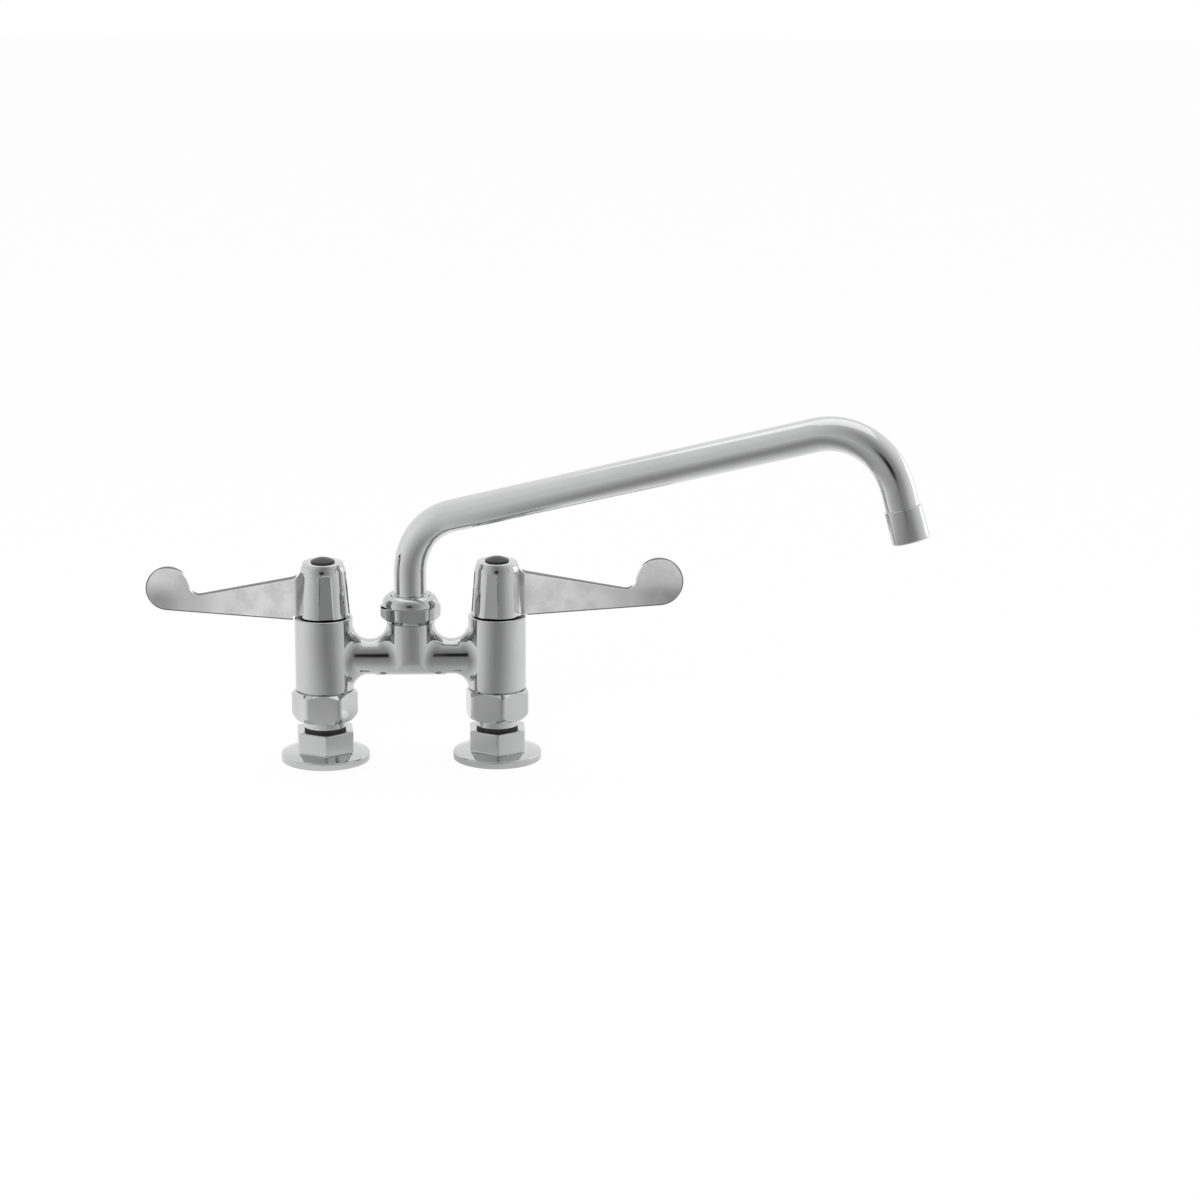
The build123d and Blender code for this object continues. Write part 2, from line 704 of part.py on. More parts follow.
# ---- Ceramic discs: two ports each, a quarter turn apart when the tap is off ----
for side in legs:
    with BuildPart() as fixed_disc:
        with BuildSketch(leg_plan(side, fixed_disc_foot)):
            Circle(disc_radius)
            with GridLocations(2 * port_centre, 0, 2, 1):
                Circle(port_radius, mode=Mode.SUBTRACT)
        extrude(amount=disc_height)
    fixed_disc.part.label = f"fixed_disc_{side}"
    export_step(fixed_disc.part, f"parts/fixed_disc_{side}.step")

    with BuildPart() as turning_disc:
        with BuildSketch(leg_plan(side, turning_disc_foot)):
            Circle(disc_radius)
            with GridLocations(0, 2 * port_centre, 1, 2):
                Circle(port_radius, mode=Mode.SUBTRACT)
        extrude(amount=disc_height)
        with BuildSketch(leg_plan(side, drive_bar_foot - drive_key_depth)):
            Rectangle(2 * skirt_bore_radius, drive_bar_width + 2 * running_clearance)
        extrude(amount=drive_key_depth, mode=Mode.SUBTRACT)
    turning_disc.part.label = f"turning_disc_{side}"
    export_step(turning_disc.part, f"parts/turning_disc_{side}.step")

# ---- Cartridge stems: a drive bar below, a seal groove and a square for the handle ----
for side in legs:
    with BuildPart() as cartridge_stem:
        with BuildSketch(leg_plan(side, drive_bar_foot - drive_key_depth)):
            Circle(disc_radius)
            Rectangle(2 * disc_radius, drive_bar_width, mode=Mode.INTERSECT)
        extrude(amount=drive_key_depth + drive_bar_height)
        with BuildSketch(leg_plan(side, drive_bar_foot + drive_bar_height)):
            Circle(stem_radius)
        extrude(amount=square_foot - drive_bar_foot - drive_bar_height)
        with BuildSketch(leg_plan(side, stem_seal_level - stem_seal_groove_width / 2)):
            Circle(stem_radius)
            Circle(stem_radius - stem_seal_groove_depth, mode=Mode.SUBTRACT)
        extrude(amount=stem_seal_groove_width, mode=Mode.SUBTRACT)
        with BuildSketch(leg_plan(side, square_foot)):
            Rectangle(stem_square, stem_square)
        extrude(amount=stem_square_length)
        with BuildSketch(leg_plan(side, screw_foot)):
            Circle(screw_radius)
        extrude(amount=screw_grip, mode=Mode.SUBTRACT)
    cartridge_stem.part.label = f"cartridge_stem_{side}"
    export_step(cartridge_stem.part, f"parts/cartridge_stem_{side}.step")

    with BuildPart() as stem_seal:
        with BuildSketch(leg_section(side)):
            with Locations((stem_radius - stem_seal_groove_depth / 2, stem_seal_level)):
                Circle(stem_seal_groove_depth / 2)
        revolve(axis=leg_axis(side))
    stem_seal.part.label = f"stem_seal_{side}"
    export_step(stem_seal.part, f"parts/stem_seal_{side}.step")

# ---- Handles: a pocketed hub with one flat blade that thins out to a round paddle ----
for side in legs:
    foot_slope = blade_foot_slope[side]
    foot_tilt = atan(foot_slope)
    end_radius = blade_end_radius[side]
    end_centre = blade_reach[side] - end_radius
    foot_level = leg_top + blade_foot_lift[side]
    end_level = foot_level + (end_centre - leg_radius) * foot_slope + end_radius / cos(foot_tilt)
    foot_tangent = (
        end_centre + end_radius * sin(foot_tilt),
        end_level - end_radius * cos(foot_tilt),
    )
    heel_radius = leg_radius + blade_heel_gap
    heel = (heel_radius, foot_level + blade_heel_gap * foot_slope)
    top_root = (hub_foot_radius, leg_top + blade_top_lift[side])
    top_tip = (end_centre, top_root[1] + (end_centre - hub_foot_radius) * blade_top_slope)
    with BuildPart() as blade:
        with BuildSketch(leg_section(side)):
            with BuildLine():
                Polyline(
                    (0, hub_foot),
                    (heel_radius, hub_foot),
                    heel,
                    foot_tangent,
                    (end_centre, end_level),
                    top_tip,
                    top_root,
                    (hub_rim_radius, hub_top - blade_web_drop),
                    (0, hub_top - blade_web_drop),
                    close=True,
                )
            make_face()
            with Locations((end_centre, end_level)):
                Circle(end_radius)
            # The neck is where the upper edge meets the paddle, the web where it meets the hub
            neck = vertices().filter_by(lambda v: v.X < end_centre).sort_by(Axis.X)[-1]
            fillet(neck, blade_neck_radius)
            fillet(vertices().sort_by_distance(top_root)[0], blade_web_radius)
        extrude(amount=blade_root_thickness, both=True)
        with BuildSketch(leg_plan(side, 0)):
            with BuildLine():
                tip = legs[side] * blade_reach[side]
                Polyline(
                    (0, -blade_root_thickness / 2),
                    (tip, -blade_tip_thickness / 2),
                    (tip, blade_tip_thickness / 2),
                    (0, blade_root_thickness / 2),
                    close=True,
                )
            make_face()
        extrude(amount=hub_top + end_radius, mode=Mode.INTERSECT)
        outline = edges().filter_by(Axis.Z, reverse=True).filter_by(
            lambda e: abs(e.center().Y) > blade_edge and abs(e.center().X - leg_x(side)) > hub_cavity_radius
        )
        fillet(outline, blade_edge)
    with BuildPart() as handle:
        with BuildSketch(leg_section(side)):
            with BuildLine():
                shoulder = (hub_shoulder_radius, hub_shoulder)
                rim = (hub_rim_radius, hub_rim)
                Polyline((0, hub_top), (0, hub_foot), (hub_foot_radius, hub_foot), shoulder)
                SagittaArc(shoulder, rim, -hub_shoulder_bulge)
                Polyline(
                    rim,
                    (hub_rim_radius - hub_step, hub_rim),
                    (hub_rim_radius - hub_step, hub_top),
                    (0, hub_top),
                )
            make_face()
        revolve(axis=leg_axis(side))
        fillet(edges_at(hub_top), hub_edge)
        # Pockets on every place but the blade's, with flat floors that lean with the hub's side
        for place in range(hub_pockets):
            around = 360 * (place + 1 / 2) / hub_pockets + pocket_turn[side]
            outward = Vector(legs[side], 0, 0).rotate(Axis.Z, around)
            pocket_plane = Plane(
                origin=Vector(leg_x(side), 0, hub_foot) + outward * (hub_foot_radius - pocket_depth),
                x_dir=Vector(0, legs[side], 0).rotate(Axis.Z, around),
                z_dir=outward * cos(hub_slope) + Vector(0, 0, sin(hub_slope)),
            )
            with BuildSketch(pocket_plane):
                with BuildLine():
                    Polyline(
                        (-pocket_foot_width / 2, 0),
                        (pocket_foot_width / 2, 0),
                        (pocket_top_width / 2, pocket_length),
                        (-pocket_top_width / 2, pocket_length),
                        close=True,
                    )
                make_face()
                fillet(vertices().group_by(Axis.Y)[-1], pocket_corner)
            extrude(amount=2 * pocket_depth, taper=-pocket_draft, mode=Mode.SUBTRACT)
        add(blade.part)
        # Inside: room for the cartridge, a square for its stem, and the button's recess
        with BuildSketch(leg_plan(side, hub_foot)):
            Circle(hub_cavity_radius)
        extrude(amount=cavity_top - hub_foot, mode=Mode.SUBTRACT)
        with BuildSketch(leg_plan(side, cavity_top)):
            Rectangle(stem_square + 2 * socket_clearance, stem_square + 2 * socket_clearance)
        extrude(amount=stem_top + socket_clearance - cavity_top, mode=Mode.SUBTRACT)
        with BuildSketch(leg_plan(side, stem_top)):
            Circle(screw_hole_radius)
        extrude(amount=button_seat - stem_top, mode=Mode.SUBTRACT)
        with BuildSketch(leg_plan(side, button_seat)):
            Circle(button_recess_radius)
        extrude(amount=button_recess_depth, mode=Mode.SUBTRACT)
    handle.part.label = f"handle_{side}"
    export_step(handle.part, f"parts/handle_{side}.step")

# ---- Handle screws: a slotted round head on a short shaft into the stem ----
for side in legs:
    with BuildPart() as handle_screw:
        with BuildSketch(leg_plan(side, screw_foot)):
            Circle(screw_radius)
        extrude(amount=button_seat - screw_foot)
        with BuildSketch(leg_plan(side, button_seat)):
            Circle(screw_head_radius)
        extrude(amount=screw_head_height)
        fillet(edges_at(button_seat + screw_head_height), screw_head_height / 4)
        with BuildSketch(leg_plan(side, button_seat + screw_head_height - screw_slot_depth)):
            Rectangle(2 * screw_head_radius, screw_slot_width)
        extrude(amount=screw_slot_depth, mode=Mode.SUBTRACT)
    handle_screw.part.label = f"handle_screw_{side}"
    export_step(handle_screw.part, f"parts/handle_screw_{side}.step")

# ---- Index buttons: a domed cap with a scalloped rim, on a hollow plug ----
dome_rise = button_height - button_edge
dome_radius = (button_radius**2 + dome_rise**2) / (2 * dome_rise)
for side in legs:
    with BuildPart() as index_button:
        with BuildSketch(leg_section(side)):
            with BuildLine():
                edge = (button_radius, hub_top + button_edge)
                crown = (0, hub_top + button_height)
                Polyline(crown, (0, hub_top), (button_radius, hub_top), edge)
                RadiusArc(edge, crown, -dome_radius)
            make_face()
        revolve(axis=leg_axis(side))
        with BuildSketch(leg_plan(side, hub_top)):
            with PolarLocations(button_radius, button_scallops):
                Circle(button_scallop_radius)
        extrude(amount=button_edge, mode=Mode.SUBTRACT)
        with BuildSketch(leg_plan(side, hub_top - button_plug_depth)):
            Circle(button_recess_radius - running_clearance)
            Circle(button_plug_radius, mode=Mode.SUBTRACT)
        extrude(amount=button_plug_depth)
    index_button.part.label = f"index_button_{side}"
    export_step(index_button.part, f"parts/index_button_{side}.step")
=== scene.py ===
import json
from math import cos, radians, sin

import bmesh
import bpy
from mathutils import Matrix, Vector

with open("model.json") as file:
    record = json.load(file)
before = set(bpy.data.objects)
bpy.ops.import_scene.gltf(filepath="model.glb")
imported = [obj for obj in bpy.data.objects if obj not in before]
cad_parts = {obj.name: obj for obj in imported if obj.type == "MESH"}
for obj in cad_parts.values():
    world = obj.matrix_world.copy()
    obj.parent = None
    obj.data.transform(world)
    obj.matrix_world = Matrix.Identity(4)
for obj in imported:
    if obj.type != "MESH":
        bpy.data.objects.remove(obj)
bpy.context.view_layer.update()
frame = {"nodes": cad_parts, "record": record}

nodes = frame["nodes"]
scene = bpy.context.scene
mounts = {mount["name"]: mount for mount in frame["record"]["mounts"]}
legOut = mounts["inlet_right"]["pos_m"][0]  # each leg's axis stands this far from the middle
plainWhite = (1, 1, 1, 1)

cameraSet = {
    "target": Vector((0.111304, 0.0, 0.095364)),
    "distance": 1.8,
    "azimuth": 3.238,  # degrees round from straight in front
    "elevation": 14.396,
    "roll": 0.39,  # degrees, the picture leans clockwise by this
    "focal": 91.86,  # mm on a 36 mm sensor
    "sensor": 36,
    "clip": (0.05, 50),
}


def makeCamera():
    turn, lift, roll = (radians(cameraSet[key]) for key in ("azimuth", "elevation", "roll"))
    forward = Vector((sin(turn) * cos(lift), cos(turn) * cos(lift), -sin(lift)))
    right = forward.cross(Vector((0, 0, 1))).normalized()
    up = right.cross(forward)
    leanRight = right * cos(roll) + up * sin(roll)
    leanUp = up * cos(roll) - right * sin(roll)
    place = cameraSet["target"] - forward * cameraSet["distance"]
    data = bpy.data.cameras.new("photoCamera")
    data.lens = cameraSet["focal"]
    data.sensor_width = cameraSet["sensor"]
    data.clip_start, data.clip_end = cameraSet["clip"]
    camera = bpy.data.objects.new("photoCamera", data)
    basis = Matrix((leanRight, leanUp, -forward)).transposed()
    camera.matrix_world = Matrix.Translation(place) @ basis.to_4x4()
    scene.collection.objects.link(camera)
    scene.camera = camera


def addNode(tree, kind, **settings):
    node = tree.nodes.new(kind)
    for name, value in settings.items():
        setattr(node, name, value)
    return node


def feed(tree, socket, value):  # links a socket to a socket, or sets it to a plain value
    if isinstance(value, bpy.types.NodeSocket):
        tree.links.new(value, socket)
    else:
        socket.default_value = value


def doMath(tree, operation, first, second=0.0, clamp=False):
    node = addNode(tree, "ShaderNodeMath", operation=operation, use_clamp=clamp)
    feed(tree, node.inputs[0], first)
    feed(tree, node.inputs[1], second)
    return node.outputs[0]


def doVector(tree, operation, first, second=(0, 0, 0)):
    node = addNode(tree, "ShaderNodeVectorMath", operation=operation)
    feed(tree, node.inputs[0], first)
    feed(tree, node.inputs[1], second)
    return node.outputs["Value" if operation in ("DOT_PRODUCT", "LENGTH") else "Vector"]


def splitVector(tree, vector):
    node = addNode(tree, "ShaderNodeSeparateXYZ")
    feed(tree, node.inputs[0], vector)
    return node.outputs


def fade(tree, value, low, high, toLow=0.0, toHigh=1.0, kind="SMOOTHSTEP"):
    node = addNode(tree, "ShaderNodeMapRange", interpolation_type=kind)
    feed(tree, node.inputs["Value"], value)
    feed(tree, node.inputs["From Min"], low)
    feed(tree, node.inputs["From Max"], high)
    feed(tree, node.inputs["To Min"], toLow)
    feed(tree, node.inputs["To Max"], toHigh)
    return node.outputs[0]


def mixColour(tree, share, first, second):
    node = addNode(tree, "ShaderNodeMix", data_type="RGBA")
    feed(tree, node.inputs["Factor"], share)
    feed(tree, node.inputs["A"], first)
    feed(tree, node.inputs["B"], second)
    return node.outputs["Result"]


def mixValue(tree, share, first, second):
    node = addNode(tree, "ShaderNodeMix", data_type="FLOAT")
    feed(tree, node.inputs[0], share)
    feed(tree, node.inputs[2], first)
    feed(tree, node.inputs[3], second)
    return node.outputs[0]


def addNoise(tree, place, scale, detail):
    node = addNode(tree, "ShaderNodeTexNoise")
    feed(tree, node.inputs["Vector"], place)
    feed(tree, node.inputs["Scale"], scale)
    feed(tree, node.inputs["Detail"], detail)
    return node.outputs["Fac"]


def addRamp(tree, value, stops, interpolation):  # grey tones, each stop is a place and its tone
    node = addNode(tree, "ShaderNodeValToRGB")
    feed(tree, node.inputs[0], value)
    ramp = node.color_ramp
    ramp.interpolation = interpolation
    while len(ramp.elements) > 1:
        ramp.elements.remove(ramp.elements[-1])
    for index, (place, tone) in enumerate(stops):
        element = ramp.elements[0] if index == 0 else ramp.elements.new(place)
        element.position = place
        element.color = (tone, tone, tone, 1.0)
    return node.outputs[0]


def plainShader(tree, kind, colour):
    node = addNode(tree, kind)
    feed(tree, node.inputs["Color"], colour)
    return node.outputs[0]


def blendShaders(tree, share, first, second):
    node = addNode(tree, "ShaderNodeMixShader")
    feed(tree, node.inputs["Fac"], share)
    feed(tree, node.inputs[1], first)
    feed(tree, node.inputs[2], second)
    return node.outputs[0]


def newGroup(name, inputs, outputs):
    group = bpy.data.node_groups.new(name, "ShaderNodeTree")
    for label, kind, value in inputs:
        socket = group.interface.new_socket(label, in_out="INPUT", socket_type=kind)
        if value is not None:
            socket.default_value = value
    for label, kind in outputs:
        group.interface.new_socket(label, in_out="OUTPUT", socket_type=kind)
    return group, group.nodes.new("NodeGroupInput"), group.nodes.new("NodeGroupOutput")


def useGroup(tree, group, values):
    node = addNode(tree, "ShaderNodeGroup", node_tree=group)
    for name, value in values.items():
        feed(tree, node.inputs[name], value)
    return node.outputs


def blankMaterial(name):
    material = bpy.data.materials.new(name)
    material.use_nodes = True
    material.node_tree.nodes.clear()
    return material, material.node_tree


def coverWith(tree, shader, kind="ShaderNodeOutputMaterial"):
    out = addNode(tree, kind)
    feed(tree, out.inputs["Surface"], shader)


studioSet = {
    "darkSide": (-0.083, -0.953, 0.292),  # where the unlit end of the studio lies, from the tap
    "middle": (0.02, 0.02, 0.04),  # metres, the point that the floor's directions start from
    # tone against nearness to the unlit end, 0 is the lit back wall and 1 the unlit end itself
    "tones": ((0.0, 1.0), (0.07, 1.06), (0.25, 1.04), (0.5, 0.92), (0.63, 0.80), (0.75, 0.66),
              (0.854, 0.50), (0.925, 0.36), (0.95, 0.33), (0.975, 0.28), (0.988, 0.19),
              (0.996, 0.04), (1.0, 0.0)),
    "leftSide": (-0.84, -0.53, 0.12),  # a pale wall stands here and lifts the tone a little
    "leftSpread": (0.5, 1.0),
    "leftGain": 0.16,
    "behind": (0.25, 0.6),  # the backdrop fills the directions that point this far to the rear
}


def makeStudioTone():
    group, start, end = newGroup("studioTone", [("Direction", "NodeSocketVector", None)],
                                 [("Tone", "NodeSocketColor"), ("Behind", "NodeSocketFloat")])
    direction = start.outputs["Direction"]
    towardsDark, towardsLeft = (
        doVector(group, "DOT_PRODUCT", direction, Vector(studioSet[side]).normalized())
        for side in ("darkSide", "leftSide"))
    nearness = fade(group, towardsDark, -1.0, 1.0, kind="LINEAR")
    room = addRamp(group, nearness, studioSet["tones"], "CARDINAL")
    lift = fade(group, towardsLeft, *studioSet["leftSpread"], 0.0, studioSet["leftGain"])
    feed(group, end.inputs["Tone"], doMath(group, "ADD", room, lift))
    behind = fade(group, splitVector(group, direction)["Y"], *studioSet["behind"])
    feed(group, end.inputs["Behind"], behind)
    return group


# the camera and clear things see white, and so does metal where it mirrors the backdrop
def whiteShare(tree, behind):
    path = addNode(tree, "ShaderNodeLightPath")
    mirrored = doMath(tree, "MULTIPLY", path.outputs["Is Glossy Ray"], behind)
    direct = doMath(tree, "ADD", path.outputs["Is Camera Ray"],
                    path.outputs["Is Transmission Ray"])
    return doMath(tree, "ADD", direct, mirrored, clamp=True)


def makeWorld(studioTone):
    world = bpy.data.worlds.new("studio")
    scene.world = world
    world.use_nodes = True
    tree = world.node_tree
    tree.nodes.clear()
    coords = addNode(tree, "ShaderNodeTexCoord")
    tone = useGroup(tree, studioTone, {"Direction": coords.outputs["Generated"]})
    room = plainShader(tree, "ShaderNodeBackground", tone["Tone"])
    white = plainShader(tree, "ShaderNodeBackground", plainWhite)
    blend = blendShaders(tree, whiteShare(tree, tone["Behind"]), room, white)
    coverWith(tree, blend, "ShaderNodeOutputWorld")


lampAim = Vector((0.05, 0, 0.08))  # every lamp points here, at the tap's body
lampSet = {
    "overhead": {"at": (0.05, 0.35, 1.9), "size": (2.2, 1.6), "watts": 4, "mirrored": True},
    "rightRear": {"at": (1.9, 0.8, 0.45), "size": (1.2, 0.9), "watts": 2, "mirrored": True},
    "frontFill": {"at": (-0.3, -1.8, 0.9), "size": (1.6, 1.2), "watts": 24, "mirrored": False},
}


def makeLamps():
    for name, lamp in lampSet.items():
        data = bpy.data.lights.new(name, "AREA")
        data.shape = "RECTANGLE"
        data.size, data.size_y = lamp["size"]
        data.energy = lamp["watts"]
        holder = bpy.data.objects.new(name, data)
        holder.location = lamp["at"]
        holder.rotation_euler = (lampAim - holder.location).to_track_quat("-Z", "Y").to_euler()
        holder.visible_glossy = lamp["mirrored"]
        scene.collection.objects.link(holder)


floorSet = {
    "half": 6.0,  # metres from the middle to each side
    "colour": (0.9, 0.9, 0.9, 1),
    "shaded": (0.42, 0.42, 0.42, 1),  # beside the flanges, as the metal sees it
    "clear": (0.0, 0.08),  # metres from the tap's middle, over which the room's tone takes over
    "lift": 0.95,  # share of plain white that the camera sees, the rest keeps the shadow
}


def makeFloorFinish(studioTone):
    material, tree = blankMaterial("paleFloor")
    place = addNode(tree, "ShaderNodeNewGeometry").outputs["Position"]
    away = doVector(tree, "SUBTRACT", place, studioSet["middle"])
    tone = useGroup(tree, studioTone, {"Direction": doVector(tree, "NORMALIZE", away)})
    clear = fade(tree, doVector(tree, "LENGTH", away), *floorSet["clear"])
    shaded = plainShader(tree, "ShaderNodeBsdfDiffuse", floorSet["shaded"])
    distant = plainShader(tree, "ShaderNodeEmission", tone["Tone"])
    around = blendShaders(tree, clear, shaded, distant)
    plain = plainShader(tree, "ShaderNodeBsdfDiffuse", floorSet["colour"])
    white = plainShader(tree, "ShaderNodeEmission", plainWhite)
    seen = blendShaders(tree, floorSet["lift"], plain, white)
    coverWith(tree, blendShaders(tree, whiteShare(tree, tone["Behind"]), around, seen))
    return material


def makeFloor(studioTone):
    mesh = bpy.data.meshes.new("floor")
    build = bmesh.new()
    bmesh.ops.create_grid(build, x_segments=1, y_segments=1, size=floorSet["half"])
    build.to_mesh(mesh)
    build.free()
    floor = bpy.data.objects.new("floor", mesh)
    scene.collection.objects.link(floor)
    mesh.materials.append(makeFloorFinish(studioTone))


makeCamera()
studioTone = makeStudioTone()
makeWorld(studioTone)
makeLamps()
makeFloor(studioTone)
scene.view_settings.view_transform = "Standard"
print("studio: camera, world, lamps and floor")

marksSet = {
    "cloudScale": 45.0,  # for a material that gives none of its own
    "cloudDetail": 4,
    "cloudSpread": (0.38, 0.72),
    "lineScale": 900.0,
    "lineDetail": 2,
    "lineTurn": (0.4, 0.7, 0.5),  # radians, the way the cloth went
    "lineStretch": (1.0, 0.04, 1.0),
    "lineSpread": (0.45, 0.75),
    "lines": 0.3,  # how strongly the lines show beside the clouds
}


def makeHandlingMarks():  # cloudy smears with fine wiping lines in them, 0 is clean and 1 is dull
    look = marksSet
    group, start, end = newGroup(
        "handlingMarks",
        [("Position", "NodeSocketVector", None),
         ("Cloud Scale", "NodeSocketFloat", look["cloudScale"]),
         ("Line Scale", "NodeSocketFloat", look["lineScale"]),
         ("Lines", "NodeSocketFloat", look["lines"])],
        [("Mask", "NodeSocketFloat")])
    place = start.outputs["Position"]
    cloud = addNoise(group, place, start.outputs["Cloud Scale"], look["cloudDetail"])
    stretch = addNode(group, "ShaderNodeMapping")
    feed(group, stretch.inputs["Vector"], place)
    feed(group, stretch.inputs["Rotation"], look["lineTurn"])
    feed(group, stretch.inputs["Scale"], look["lineStretch"])
    lines = addNoise(group, stretch.outputs[0], start.outputs["Line Scale"], look["lineDetail"])
    smear = fade(group, cloud, *look["cloudSpread"])
    wiped = fade(group, lines, *look["lineSpread"])
    wiped = doMath(group, "MULTIPLY", wiped, start.outputs["Lines"])
    feed(group, end.inputs["Mask"], doMath(group, "ADD", smear, wiped, clamp=True))
    return group


rippleSet = {
    "scale": 70.0,  # for a material that gives none of its own
    "slowDetail": 1,
    "fineTimes": 6.0,  # the fine waves are this many times closer together
    "fineDetail": 2,
    "fine": 0.15,  # their height against the slow waves
}


def makeRipple():  # the slow waves that buffing leaves under the plate, and finer ones on them
    look = rippleSet
    group, start, end = newGroup(
        "polishedRipple",
        [("Position", "NodeSocketVector", None), ("Scale", "NodeSocketFloat", look["scale"]),
         ("Fine", "NodeSocketFloat", look["fine"])],
        [("Height", "NodeSocketFloat")])
    place, scale = start.outputs["Position"], start.outputs["Scale"]
    slow = addNoise(group, place, scale, look["slowDetail"])
    closer = doMath(group, "MULTIPLY", scale, look["fineTimes"])
    fine = addNoise(group, place, closer, look["fineDetail"])
    fine = doMath(group, "MULTIPLY", fine, start.outputs["Fine"])
    feed(group, end.inputs["Height"], doMath(group, "ADD", slow, fine))
    return group


handlingMarks = makeHandlingMarks()
polishedRipple = makeRipple()


def addMarks(tree, place, look):
    values = {"Position": place, "Cloud Scale": look["cloudScale"]}
    return useGroup(tree, handlingMarks, values)["Mask"]


def addRipple(tree, surface, place, look):
    waves = useGroup(tree, polishedRipple, {"Position": place, "Scale": look["rippleScale"]})
    bump = addNode(tree, "ShaderNodeBump")
    bump.inputs["Strength"].default_value = 1
    bump.inputs["Distance"].default_value = look["ripple"]
    feed(tree, bump.inputs["Height"], waves["Height"])
    feed(tree, surface.inputs["Normal"], bump.outputs[0])


# "colour" is the clean surface and "handled" the dull one, "roughness" has a value for each,
# "ripple" is the depth of the buffing waves in metres
finishSet = {
    "castChrome": {"colour": (0.585, 0.588, 0.592), "handled": (0.55, 0.552, 0.555),
                   "metallic": 1.0, "roughness": (0.035, 0.085), "cloudScale": 42,
                   "ripple": 0.00011, "rippleScale": 70},
    "tubeChrome": {"colour": (0.66, 0.663, 0.667), "handled": (0.625, 0.627, 0.63),
                   "metallic": 1.0, "roughness": (0.03, 0.07), "cloudScale": 30,
                   "ripple": 0.00003, "rippleScale": 60},
    "turnedChrome": {"colour": (0.60, 0.603, 0.607), "handled": (0.56, 0.562, 0.565),
                     "metallic": 1.0, "roughness": (0.035, 0.09), "cloudScale": 60,
                     "ripple": 0.00003, "rippleScale": 90},
    "buttonGrey": {"colour": (0.045, 0.045, 0.047), "handled": (0.06, 0.06, 0.062),
                   "metallic": 0.0, "roughness": (0.16, 0.32), "cloudScale": 220,
                   "ripple": 0.00002, "rippleScale": 500, "specular": 0.25},
    "brass": {"colour": (0.62, 0.43, 0.17), "handled": (0.42, 0.28, 0.11),
              "metallic": 1.0, "roughness": (0.22, 0.38), "cloudScale": 80,
              "ripple": 0.00003, "rippleScale": 160,
              # painted shade: a dark band between two heights in metres, in the gap under the
              # handles
              "grime": {"colour": (0.02, 0.018, 0.015, 1),
                        "above": (0.0835, 0.0845), "below": (0.0915, 0.0925)}},
    "steel": {"colour": (0.52, 0.52, 0.52), "handled": (0.40, 0.40, 0.40),
              "metallic": 1.0, "roughness": (0.22, 0.36), "cloudScale": 160,
              "ripple": 0.00002, "rippleScale": 300},
    "rubber": {"colour": (0.018, 0.018, 0.018), "handled": (0.035, 0.035, 0.034),
               "metallic": 0.0, "roughness": (0.55, 0.75), "cloudScale": 200,
               "ripple": 0.00003, "rippleScale": 700},
    "ceramic": {"colour": (0.80, 0.79, 0.76), "handled": (0.72, 0.71, 0.68),
                "metallic": 0.0, "roughness": (0.22, 0.34), "cloudScale": 90,
                "ripple": 0.00001, "rippleScale": 600},
    "fibre": {"colour": (0.30, 0.12, 0.07), "handled": (0.20, 0.08, 0.05),
              "metallic": 0.0, "roughness": (0.75, 0.9), "cloudScale": 300,
              "ripple": 0.00006, "rippleScale": 500},
    "plastic": {"colour": (0.62, 0.62, 0.62), "handled": (0.52, 0.52, 0.52),
                "metallic": 0.0, "roughness": (0.4, 0.55), "cloudScale": 120,
                "ripple": 0.00002, "rippleScale": 300},
}


def makeFinish(name):
    look = finishSet[name]
    material, tree = blankMaterial(name)
    place = addNode(tree, "ShaderNodeTexCoord").outputs["Object"]
    smear = addMarks(tree, place, look)
    colour = mixColour(tree, smear, (*look["colour"], 1), (*look["handled"], 1))
    # painted shade: the brass turns near-black between the two heights, in the gap under the
    # handles
    if "grime" in look:
        height, grime = splitVector(tree, place)["Z"], look["grime"]
        above = fade(tree, height, *grime["above"])
        below = fade(tree, height, *grime["below"], 1.0, 0.0)
        between = doMath(tree, "MULTIPLY", above, below)
        colour = mixColour(tree, between, colour, grime["colour"])
    surface = addNode(tree, "ShaderNodeBsdfPrincipled")
    feed(tree, surface.inputs["Base Color"], colour)
    feed(tree, surface.inputs["Metallic"], look["metallic"])
    feed(tree, surface.inputs["Roughness"], mixValue(tree, smear, *look["roughness"]))
    if "specular" in look:
        surface.inputs["Specular IOR Level"].default_value = look["specular"]
    addRipple(tree, surface, place, look)
    coverWith(tree, surface.outputs[0])
    return material


